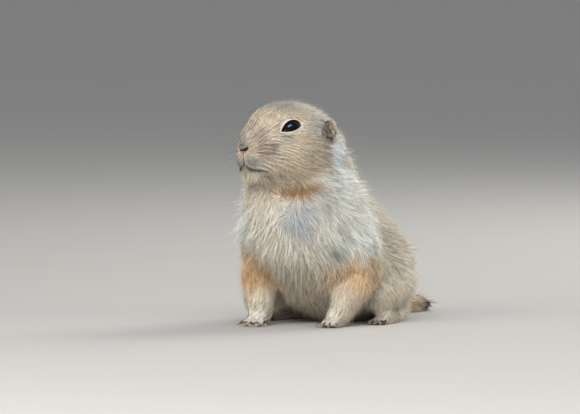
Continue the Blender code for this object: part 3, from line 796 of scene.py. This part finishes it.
# Markings and painted shade: frame, middle, radii, colour, strength and softness. A "pose" one is on one side
# only, where the pose parts the fur. Some rows paint shade or shadow into the coat's colour, as their
# comments say.
MARKS_AND_PAINTED_SHADE = [
    ("body", (0, 20, 50), (50, 46, 34), (0.50, 0.44, 0.36), 0.8, 0.5),
    ("body", (0, 46, 14), (42, 30, 24), (0.54, 0.45, 0.36), 0.7, 0.5),
    ("body", (36, 10, 27), (14, 20, 14), (0.82, 0.74, 0.60), 0.8, 0.6),
    ("body", (0, -52, 52), (32, 24, 32), (0.88, 0.82, 0.69), 1.0, 0.5),
    ("body", (0, -42, 27), (18, 18, 12), (0.66, 0.57, 0.44), 0.7, 0.6),
    ("body", (32, -32, 51), (17, 22, 22), (0.90, 0.92, 0.84), 0.95, 0.6),
    ("body", (26, -30, 80), (18, 24, 18), (0.82, 0.83, 0.78), 0.85, 0.6),
    ("body", (6, -56, 69), (16, 10, 5), (0.85, 0.69, 0.51), 0.7, 0.8),
    # Orange hair of the throat fold, darkened with painted shadow under the fold
    ("pose", (11, -56, 73.2), (19, 13, 5.6), (0.31, 0.14, 0.035), 1.0, 0.7),
    ("body", (29, -24, 28), (17, 20, 12), (0.82, 0.55, 0.31), 0.95, 0.8),
    ("pose", (-25, -33, 30), (15, 15, 16), (0.60, 0.33, 0.13), 0.8, 0.85),
    # Painted shadow: dark patch in the gap between the left upper arm and the chest
    ("pose", (22.5, -39, 40.5), (5, 7, 4), (0.16, 0.15, 0.13), 0.7, 0.9),
    # Painted shade: blue-grey at the centre of the whorl, where the fur parts
    ("pose", (11, -53, 57), (8, 10, 10), (0.42, 0.45, 0.50), 0.8, 0.8),
    ("pose", (22, -47, 66), (13, 10, 5), (0.42, 0.43, 0.42), 0.65, 0.9),
    ("body", (23, -28, 11), (13, 15, 10), (0.80, 0.68, 0.51), 0.85, 0.6),
    ("body", (21, -38, 3), (11, 14, 7), (0.80, 0.72, 0.60), 0.9, 0.5),
    ("body", (32, 12, 3), (11, 32, 7), (0.78, 0.69, 0.56), 0.8, 0.5),
    ("body", (0, 78, 10), (18, 24, 16), (0.64, 0.48, 0.31), 0.9, 0.5),
    ("body", (8, 106, 4), (16, 17, 12), (0.030, 0.024, 0.020), 1.0, 0.35),
    ("head", (0, 0, 2), (30, 36, 26), (0.53, 0.445, 0.335), 1.0, 0.25),
    ("head", (8, -15, 16), (9, 9, 7), (0.63, 0.50, 0.355), 0.8, 0.7),
    ("head", (4, -7, 22), (11, 9, 5), (0.32, 0.30, 0.27), 0.8, 0.7),
    ("head", (10, 12, 19), (14, 12, 9), (0.54, 0.51, 0.44), 0.8, 0.6),
    ("head", (0, -25, 9), (7, 6, 6), (0.46, 0.375, 0.30), 0.85, 0.7),
    ("head", (0, -27.5, 4.4), (5.5, 4.0, 3.8), (0.29, 0.24, 0.20), 0.9, 0.8),
    ("head", (8.5, -23, 6), (4.8, 5.8, 5.0), (0.32, 0.235, 0.165), 0.85, 0.8),
    ("head", (10, -22.5, -0.5), (6, 6, 5), (0.37, 0.275, 0.185), 0.85, 0.7),
    ("head", (14, -18.4, 1.6), (1.9, 2.8, 3.4), (0.10, 0.08, 0.065), 0.8, 0.9),
    ("head", (6.0, -25.5, -6.8), (7.5, 5.0, 3.3), (0.20, 0.195, 0.19), 0.85, 0.9),
    ("head", (10.5, -20.5, -12.3), (2.6, 3.4, 2.4), (0.24, 0.15, 0.105), 0.7, 0.9),
    ("head", (5, -22, -14), (9, 7, 4.5), (0.86, 0.74, 0.58), 0.9, 0.6),
    ("head", (20, -6, -10), (9, 14, 8), (0.54, 0.42, 0.28), 0.75, 0.7),
    ("head", (19, -10.5, 5.6), (5, 6, 3), (0.37, 0.345, 0.29), 0.8, 0.8),
    ("head", (19, 4, 13), (8, 9, 7), (0.50, 0.48, 0.41), 0.8, 0.7),
    ("head", (18.5, -8.1, 10.9), (3.6, 6.6, 4.4), (0.84, 0.78, 0.66), 0.8, 0.4),
    ("head", (20.5, 17.5, 0), (9, 7, 13), (0.84, 0.88, 0.87), 1.0, 0.6),
    ("head", (19.5, 13.5, 8.8), (4, 4, 7), (0.72, 0.56, 0.41), 1.0, 0.6),
    # Painted shade: near black in the ear's opening, where the pit lies in shadow
    ("head", (20.2, 12.1, 7.2), (2.6, 2.1, 3.4), (0.018, 0.013, 0.01), 0.98, 0.6),
]
WHISKER_PAD = (12.5, -20.0, 0.0), (6.0, 6.0, 5.5)
WHISKER_ROW = 2.2
# How far the edges of the markings wander, in millimetres of each frame
WANDER = {"body": 14.0, "pose": 9.0, "head": 5.0}


def marked_with_painted_shade(finish, place, tone):
    """The coat's colour at a place: buff under every marking and painted shade, with painted grey-blue shade
    in the chest's partings and streaks of darker and lighter hair.
    """
    pose, head = finish.measured(place, BODY), finish.measured(place, HEAD)
    local = {"pose": pose, "body": finish.folded(pose), "head": finish.folded(head)}
    wander = finish.node("TexNoise", {}, {"Vector": place, "Scale": 160.0, "Detail": 3.0}, output="Color")
    wander = finish.vector("SUBTRACT", wander, (0.5, 0.5, 0.5))
    shaken = {}
    for name, far in WANDER.items():
        shaken[name] = finish.vector("MULTIPLY_ADD", wander, (far,) * 3, local[name])
    colour = BUFF
    for where, middle, radii, shade, strength, soft in MARKS_AND_PAINTED_SHADE:
        colour = finish.mixed(finish.patch(shaken[where], middle, radii, soft) * strength, colour, shade)
    up, back = finish.part(local["head"], "Z"), finish.part(local["head"], "Y")
    rows = finish.stepped(finish.wave(up + back * 0.12, WHISKER_ROW), 0.3, 0.95)
    pad = finish.patch(shaken["head"], *WHISKER_PAD, 0.7)
    colour = finish.mixed(rows * pad * 0.6, colour, (0.12, 0.09, 0.07))
    # Painted shade: grey-blue in the partings of the chest fur
    cool = finish.patch(local["body"], (10, -42, 50), (30, 30, 28), 0.6)
    parting_shade = finish.stepped(finish.noise(local["pose"], 9.0, 3.0, (1.0, 1.0, 0.4)), 0.56, 0.66)
    colour = finish.mixed(parting_shade * cool * 0.45, colour, (0.52, 0.54, 0.56))
    warm = finish.stepped(finish.noise(local["pose"], 12.0, 2.0, (1.0, 1.0, 0.5)), 0.54, 0.70)
    colour = finish.mixed(warm * 0.4, colour, (0.74, 0.55, 0.35))
    ticked = finish.stepped(tone, -2.3, -1.5, (0.5, 0.0))
    colour = finish.mixed(ticked, colour, (0.10, 0.08, 0.06))
    streak = finish.stepped(tone, -1.9, 1.6, (0.42, 1.17))
    grey = finish.node("CombineColor", {}, {0: streak, 1: streak, 2: streak})
    return finish.mixed(1.0, colour, grey, "MULTIPLY")


def lipped(finish, colour):
    """Grey lips with a dark line between them."""
    lips = finish.held(LIPS)
    colour = finish.mixed(finish.stepped(lips, 0.02, 0.45) * 0.7, colour, (0.18, 0.17, 0.165))
    return finish.mixed(finish.stepped(lips, 0.3, 0.75), colour, (0.02, 0.016, 0.015))


def coat_finish():
    finish = Finish("coat", 0.62, Specular_IOR_Level=0.1)
    colour = marked_with_painted_shade(finish, finish.held(PLACE, "Vector"), finish.held(TONE))
    root = finish.node("HueSaturation", {}, {"Saturation": 0.85, "Value": 0.72, "Color": colour})
    colour = finish.mixed(finish.stepped(finish.held(REACH), 0.0, 0.8), root, colour)
    return finish.done(lipped(finish, colour))


def skin_finish():
    finish = Finish("skin", 0.7)
    place = finish.place()
    grain = finish.noise(place, 0.5 * MM, 3.0)
    colour = marked_with_painted_shade(finish, place, grain * 2.4 - 1.6)
    return finish.done(lipped(finish, colour), grain, 0.4, 0.25)


def eye_finish(side):
    wet = {"Coat_Weight": 1.0, "Coat_Roughness": 0.03, "Coat_IOR": 1.25}
    finish = Finish(f"eye_{side}", 0.05, Specular_IOR_Level=0.0, **wet)
    place = finish.place()
    middle, _, _, out = eye_axes(SIDES[side])
    from_pole = finish.vector("DISTANCE", place, middle + out * EYE_RADIUS * MM, output="Value")
    iris = finish.stepped(from_pole, PUPIL_RADIUS * MM, IRIS_START * MM)
    fibres = finish.noise(place, 0.3 * MM, 4.0)
    colour = finish.mixed(iris * fibres * 0.8, (0.0015, 0.0015, 0.0015), (0.009, 0.005, 0.003))
    return finish.done(colour)


def nose_finish():
    finish = Finish("nose", 0.5, Specular_IOR_Level=0.3)
    place = finish.place()
    pores = finish.node("TexVoronoi", {"feature": "DISTANCE_TO_EDGE"}, {"Vector": place, "Scale": 2600.0})
    hollow = finish.held(REACH)
    colour = finish.mixed(finish.noise(place, 1.2 * MM), (0.20, 0.10, 0.055), (0.36, 0.20, 0.12))
    height = finish.part(finish.measured(place, HEAD), "Z")
    furred = finish.mixed(finish.noise(place, 0.5 * MM), (0.07, 0.058, 0.05), (0.20, 0.17, 0.14))
    colour = finish.mixed(finish.stepped(height, -0.2, 0.6), colour, furred)
    # Painted shade: near black in the nostril hollows
    colour = finish.mixed(finish.stepped(hollow, 0.35, 0.62), colour, (0.006, 0.005, 0.005))
    return finish.done(colour, pores, 0.35, 0.08)


def lid_finish():
    finish = Finish("lids", 0.55)
    place = finish.place()
    edge = finish.held(REACH)
    pale = finish.mixed(finish.noise(place, 0.6 * MM), (0.50, 0.44, 0.35), (0.68, 0.61, 0.50))
    colour = finish.mixed(finish.stepped(edge, 0.55, 0.95), pale, (0.48, 0.41, 0.31))
    colour = finish.mixed(finish.stepped(edge, 0.2, 0.4, (1.0, 0.0)), colour, (0.02, 0.015, 0.013))
    return finish.done(colour, finish.noise(place, 0.25 * MM, 3.0), 0.4, 0.1)


def claw_finish():
    finish = Finish("claws", 0.32)
    place = finish.place()
    along = finish.held(REACH)
    colour = finish.mixed(finish.stepped(along, 0.1, 1.0), (0.035, 0.026, 0.021), (0.20, 0.15, 0.11))
    return finish.done(colour, finish.noise(place, 0.4 * MM, 2.0, (4, 1, 4)), 0.2, 0.05)


def whisker_finish():
    finish = Finish("whiskers", 0.4)
    return finish.done(finish.mixed(finish.held(REACH), (0.06, 0.05, 0.042), (0.22, 0.19, 0.16)))


def floor_finish():
    finish = Finish("floor", 0.8)
    place = finish.place()
    colour = finish.mixed(finish.noise(place, 60.0 * MM), (0.40, 0.368, 0.33), (0.42, 0.388, 0.35))
    return finish.done(colour, finish.noise(place, 0.8 * MM), 0.05, 0.1)


# Face pieces and claws


def made_object(bm, name):
    bmesh.ops.recalc_face_normals(bm, faces=bm.faces)
    mesh = bpy.data.meshes.new(name)
    bm.to_mesh(mesh)
    bm.free()
    mesh.shade_smooth()
    return object_of(mesh, name)


def grown_ring(bm, edges):
    """The edges and, in order, the vertices of the ring that grows when this ring is extruded."""
    grown = bmesh.ops.extrude_edge_only(bm, edges=edges)["geom"]
    verts = {item for item in grown if isinstance(item, bmesh.types.BMVert)}
    rim = [item for item in grown if isinstance(item, bmesh.types.BMEdge) and verts.issuperset(item.verts)]
    bm.verts.index_update()
    return rim, sorted(verts, key=lambda vert: vert.index)


def grow_tube(bm, sides, rings):
    """A closed tube through rings of points, and its vertices, ring by ring."""
    ring = bmesh.ops.create_circle(bm, cap_ends=True, segments=sides, radius=MM)["verts"]
    edges = list({edge for vert in ring for edge in vert.link_edges})
    made = []
    for number, spots in enumerate(rings):
        if number:
            edges, ring = grown_ring(bm, edges)
        for vert, spot in zip(ring, spots):
            vert.co = spot
        made.append(ring)
    bmesh.ops.contextual_create(bm, geom=edges)
    return made


def make_eye(side):
    """A wet ball with the clear front a little proud of the rest."""
    bm = bmesh.new()
    middle, along, up, out = eye_axes(SIDES[side])
    axes = Matrix((along, up, out)).transposed().to_4x4()
    matrix = Matrix.Translation(middle) @ axes
    bmesh.ops.create_uvsphere(bm, u_segments=48, v_segments=32, radius=EYE_RADIUS * MM, matrix=matrix)
    for vert in bm.verts:
        aside = (vert.co - middle - out * EYE_RADIUS * MM).length / MM
        vert.co += out * CORNEA_BULGE * MM * max(0.0, 1 - (aside / CORNEA_REACH) ** 2)
    return made_object(bm, f"eyeball_{side}")


# Rings of a lid: how far beyond the opening, height over the ball, and how far it follows the skin instead
LID_RINGS = [
    (-0.3, -0.45, 0),
    (-0.05, 0.05, 0),
    (0.02, 0.32, 0),
    (0.22, 0.52, 0),
    (0.5, 0.6, 0.15),
    (0.85, 0.5, 0.5),
    (1.2, 0.3, 0.85),
    (1.8, 0.0, 1),
    (2.6, -1.2, 1),
]
LID_SIDES = 56
# How far out the skin is looked for from
LID_PROBE = 20


def make_lids(side, tree):
    """One band of skin round the opening, which rests on the ball and runs out under the coat."""
    middle, along, up, out = eye_axes(SIDES[side])
    bm = bmesh.new()
    ring = bmesh.ops.create_circle(bm, segments=LID_SIDES, radius=MM)["verts"]
    edges = list(bm.edges)
    for number, (beyond, height, follow) in enumerate(LID_RINGS):
        if number:
            edges, ring = grown_ring(bm, edges)
        for k, vert in enumerate(ring):
            a, u = slit_edge(2 * pi * k / LID_SIDES, beyond)
            radius = (EYE_RADIUS + height) * MM
            on_ball = sqrt(max(radius**2 - a * a - u * u, (0.5 * MM) ** 2))
            start = middle + along * a + up * u + out * LID_PROBE * MM
            hit = tree.ray_cast(start, -out)[0]
            on_skin = (hit - middle).dot(out) + height * 0.25 * MM if hit else on_ball
            vert.co = middle + along * a + up * u + out * (on_ball + (on_skin - on_ball) * follow)
    obj = made_object(bm, f"lids_{side}")
    tag(obj.data, REACH, np.clip(beyond_slit(points_of(obj.data), SIDES[side]), 0, 1))
    return obj


def make_nose():
    """The bare pad of the nose, with its comma-shaped nostrils and a shallow cleft below."""
    bm = bmesh.new()
    radii = Matrix.Diagonal((*(Vector(NOSE_RADII) * MM), 1))
    matrix = HEAD @ Matrix.Translation(Vector(NOSE_CENTRE) * MM) @ radii
    bmesh.ops.create_icosphere(bm, subdivisions=6, radius=1.0, matrix=matrix)
    obj = made_object(bm, "nose_pad")
    points, normals = points_of(obj.data), normals_of(obj.data)
    nostrils = [[at(HEAD, place, side) for place in NOSTRIL] for side in SIDES.values()]
    away = distance_to_paths(points, nostrils) / MM
    aside = (points - np.array(HEAD.translation)) @ np.array(HEAD.to_3x3())[:, 0] / MM
    hollow = np.exp(-(away**2))
    wing = np.exp(-(((away - 1.5) / 0.6) ** 2))
    cleft = np.exp(-((aside / 0.28) ** 2))
    set_points(obj.data, points + normals * (wing * 0.2 - hollow * 0.9 - cleft * 0.2)[:, None] * MM)
    tag(obj.data, REACH, hollow)
    return obj


def make_ear(side):
    """The ear's cup, softened from its solid, and its own short coat, which lies towards the rim."""
    mesh = fused([f"ear_{side}"], 0.32, 0.0, f"ear_cup_{side}")
    points = relaxed(points_of(mesh), mesh, 12, np.full(len(mesh.vertices), 0.5))
    set_points(mesh, points)
    set_points(mesh, points - normals_of(mesh) * 0.3 * MM)
    mesh.shade_smooth()
    cup = object_of(mesh, f"ear_cup_{side}")
    unwrap(cup)
    pit, base = (np.array(at(HEAD, spot, SIDES[side])) for spot in (EAR_PIT, EAR_BASE))

    def outside_pit(points):
        return 0.01 + eased(np.linalg.norm((points - pit) * (1, 1, 0.65), axis=1), 1.6 * MM, 2.6 * MM)

    place, normal, on_map = scattered(mesh, EAR_TUFTS, 31, outside_pit)
    even = np.ones(len(place))
    growth = (unit(place - base), *(even * size * MM for size in EAR_HAIR))
    tip, across, width, tone = combed(place, normal, surface_tree(mesh), growth, 37)
    lips = even * FAR_AWAY
    return cup, tufts(f"coat_ear_{side}", place, normal, on_map, tip, across, width, tone, lips)


def make_claws(paw, side):
    """The claws of one paw: curved, blunt horn, thickest just past the toe."""
    bm = bmesh.new()
    palm = PALMS[f"{paw}_{side}"]
    turns = [2 * pi * k / CLAW_SIDES for k in range(CLAW_SIDES)]
    for fan, share in DIGITS[paw]:
        angle = SIDES[side] * radians(fan)
        way = Vector((sin(angle), -cos(angle), 0))
        aside = Vector((cos(angle), sin(angle), 0))
        start = Vector((*palm, 0)) + way * DIGIT_START
        rings = []
        for out, height, radius in CLAW:
            middle = start + way * out * share + Vector((0, 0, height))
            spots = [
                middle + aside * radius * CLAW_NARROWNESS * cos(turn) + Vector((0, 0, radius * sin(turn)))
                for turn in turns
            ]
            rings.append([at(BODY, (spot.x, spot.y, max(spot.z, 0.02))) for spot in spots])
        grow_tube(bm, CLAW_SIDES, rings)
    obj = made_object(bm, f"claws_{paw}_{side}")
    middle = np.array(at(BODY, (*palm, PALM_HEIGHT)))
    out = np.linalg.norm(points_of(obj.data) - middle, axis=1) / MM
    tag(obj.data, REACH, np.clip((out - CLAW_DARK) / (CLAW_PALE - CLAW_DARK), 0, 1))
    return obj


# Whiskers in the head's frame: first and last root, number, way of the first and the last, length, bow
WHISKERS = {
    "pad_upper": ((8.5, -24.0, 1.0), (12.0, -18.0, 2.2), 4, (0.95, -0.1, 0.22), (0.9, 0.45, 0.25), 21),
    "pad_middle": ((8.5, -24.6, -1.6), (13.0, -17.6, -1.4), 5, (0.95, -0.1, 0.0), (0.9, 0.5, 0.0), 25),
    "pad_lower": ((8.0, -24.6, -4.2), (13.0, -17.6, -5.0), 4, (0.93, -0.1, -0.25), (0.85, 0.5, -0.3), 21),
    "brow": ((8.0, -17.0, 16.5), (12.0, -11.0, 18.0), 5, (0.1, -0.8, 1.0), (0.2, -0.2, 1.0), 13),
}
WHISKER_RADIUS, WHISKER_TAPER = 0.08, 0.85
WHISKER_RINGS, WHISKER_SIDES = 7, 3
WHISKER_ROOT = 0.6
WHISKER_BOW, BOW_SHARE = (0, 0.5, -0.45), 0.22


def make_whiskers(tree):
    """Every whisker as a thin tapered hair that bows down and back."""
    rng = np.random.default_rng(23)
    bm = bmesh.new()
    reach = bm.verts.layers.float.new(REACH)
    steps = [ring / (WHISKER_RINGS - 1) for ring in range(WHISKER_RINGS)]
    turns = [2 * pi * corner / WHISKER_SIDES for corner in range(WHISKER_SIDES)]
    for first, last, number, first_way, last_way, length in WHISKERS.values():
        for side in SIDES.values():
            for k in range(number):
                t = k / (number - 1)
                spot = [a + (b - a) * t for a, b in zip(first, last)]
                way = [a + (b - a) * t + rng.normal(0, 0.06) for a, b in zip(first_way, last_way)]
                root = tree.find_nearest(at(HEAD, spot, side))[0]
                way = turned(HEAD, way, side)
                long = length * rng.uniform(0.75, 1.1) * MM
                bow = turned(HEAD, WHISKER_BOW, side) * long * BOW_SHARE
                aside = way.cross(Vector((0, 0, 1))).normalized()
                over = way.cross(aside)
                rings = []
                for u in steps:
                    middle = root - way * WHISKER_ROOT * MM + way * long * u + bow * u * u
                    radius = WHISKER_RADIUS * MM * (1 - WHISKER_TAPER * u)
                    rings.append([middle + radius * (aside * cos(turn) + over * sin(turn)) for turn in turns])
                for u, ring in zip(steps, grow_tube(bm, WHISKER_SIDES, rings)):
                    for vert in ring:
                        vert[reach] = u
    return made_object(bm, "whiskers")


# Floor, light and camera

PHOTO_WIDTH, PHOTO_HEIGHT = 580, 414
MM_A_PIXEL = 0.52
AIM_PIXEL = (326, 322)
AZIMUTH, ELEVATION = radians(27), radians(4)
LENS, SENSOR = 400.0, 36.0
FLOOR_HALF_WIDTH = 16.0
LIGHT_AIM = Vector((0, -0.02, 0.06))
# Panels of light, as seen from the camera's side: place, width, height, watts, colour
LAMPS = {
    "key": ((-1.0, -1.05, 0.72), 0.9, 0.55, 12.0, (1.0, 0.985, 0.96)),
    "fill": ((-0.1, -1.3, 1.0), 1.0, 0.6, 15.0, (0.92, 0.96, 1.0)),
    "low": ((-0.6, -1.4, 0.2), 1.4, 0.6, 11.0, (1.0, 0.97, 0.93)),
    "side": ((1.2, -0.9, 0.45), 1.0, 0.6, 7.0, (1.0, 0.98, 0.95)),
    "back": ((0.9, 0.8, 0.9), 0.9, 0.9, 20.0, (0.97, 0.99, 1.0)),
}
# Panes of window light, which show only in gloss, in the same columns
PANES = {
    "pane_0": ((-0.35, -1.2, 0.75), 0.55, 0.45, 26.0, (0.5, 0.75, 1.0)),
    "pane_1": ((0.1, -1.2, 1.1), 0.5, 0.6, 24.0, (0.5, 0.75, 1.0)),
    "pane_2": ((0.62, -1.2, 0.85), 0.25, 0.25, 3.0, (0.5, 0.75, 1.0)),
}
SKY_COLOUR, SKY_STRENGTH = (0.86, 0.93, 1.0, 1), 0.5


def make_floor():
    """A wide, pale, level floor that fills the picture behind the animal."""
    bm = bmesh.new()
    bmesh.ops.create_grid(bm, x_segments=24, y_segments=24, size=FLOOR_HALF_WIDTH)
    return made_object(bm, "floor")


def make_light(name, place, width, height, power, colour, glossy):
    """A soft panel that shows only in gloss, or in everything but gloss."""
    lamp = bpy.data.lights.new(name, "AREA")
    lamp.shape, lamp.size, lamp.size_y, lamp.energy, lamp.color = "RECTANGLE", width, height, power, colour
    obj = bpy.data.objects.new(name, lamp)
    obj.visible_glossy, obj.visible_diffuse = glossy, not glossy
    obj.location = Matrix.Rotation(AZIMUTH, 3, "Z") @ Vector(place)
    obj.rotation_mode = "QUATERNION"
    obj.rotation_quaternion = (obj.location - LIGHT_AIM).to_track_quat("Z", "Y")
    bpy.context.scene.collection.objects.link(obj)


def make_camera():
    data = bpy.data.cameras.new("camera")
    data.lens, data.sensor_width = LENS, SENSOR
    data.clip_start, data.clip_end = 0.1, 50.0
    camera = bpy.data.objects.new("camera", data)
    back = Vector((sin(AZIMUTH) * cos(ELEVATION), -cos(AZIMUTH) * cos(ELEVATION), sin(ELEVATION)))
    right = Vector((cos(AZIMUTH), sin(AZIMUTH), 0))
    aside, rise = PHOTO_WIDTH / 2 - AIM_PIXEL[0], AIM_PIXEL[1] - PHOTO_HEIGHT / 2
    aim = BODY.translation + (right * aside + back.cross(right) * rise) * MM_A_PIXEL * MM
    camera.location = BODY.translation + back * (MM_A_PIXEL * MM * PHOTO_WIDTH * LENS / SENSOR)
    camera.rotation_mode = "QUATERNION"
    camera.rotation_quaternion = (aim - camera.location).to_track_quat("-Z", "Y")
    bpy.context.scene.collection.objects.link(camera)
    bpy.context.scene.camera = camera


def make_studio():
    floor = make_floor()
    floor.data.materials.append(floor_finish())
    for panels, glossy in ((LAMPS, False), (PANES, True)):
        for name, panel in panels.items():
            make_light(name, *panel, glossy)
    bpy.context.scene.view_settings.view_transform = "Standard"
    world = bpy.data.worlds.new("studio")
    world.use_nodes = True
    sky = world.node_tree.nodes["Background"].inputs
    sky["Color"].default_value, sky["Strength"].default_value = SKY_COLOUR, SKY_STRENGTH
    bpy.context.scene.world = world


def settle(obj, material, slot, *replaced):
    """Gives a finished piece its material and its place in the frame."""
    obj.data.materials.clear()
    obj.data.materials.append(material)
    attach(obj, "root")
    if replaced:
        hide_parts(*replaced)


skin, skin_tree, lip_lines = make_skin()
unwrap(skin)
coat = make_coat(skin, skin_tree, lip_lines)
hair, flesh_tint = coat_finish(), skin_finish()
settle(skin, flesh_tint, "head", *FLESH)
for piece, slot_name in coat:
    settle(piece, hair, slot_name)
lids_tint, claws_tint = lid_finish(), claw_finish()
for side_name in SIDES:
    settle(make_eye(side_name), eye_finish(side_name), f"eye_{side_name}", f"eye_{side_name}")
    settle(make_lids(side_name, skin_tree), lids_tint, "head")
    cup, cup_coat = make_ear(side_name)
    settle(cup, flesh_tint, f"ear_{side_name}", f"ear_{side_name}")
    settle(cup_coat, hair, f"ear_{side_name}")
    for paw_name in DIGITS:
        settle(make_claws(paw_name, side_name), claws_tint, f"{paw_name}_{side_name}")
settle(make_nose(), nose_finish(), "nose", "nose")
settle(make_whiskers(skin_tree), whisker_finish(), "head")
make_studio()
make_camera()
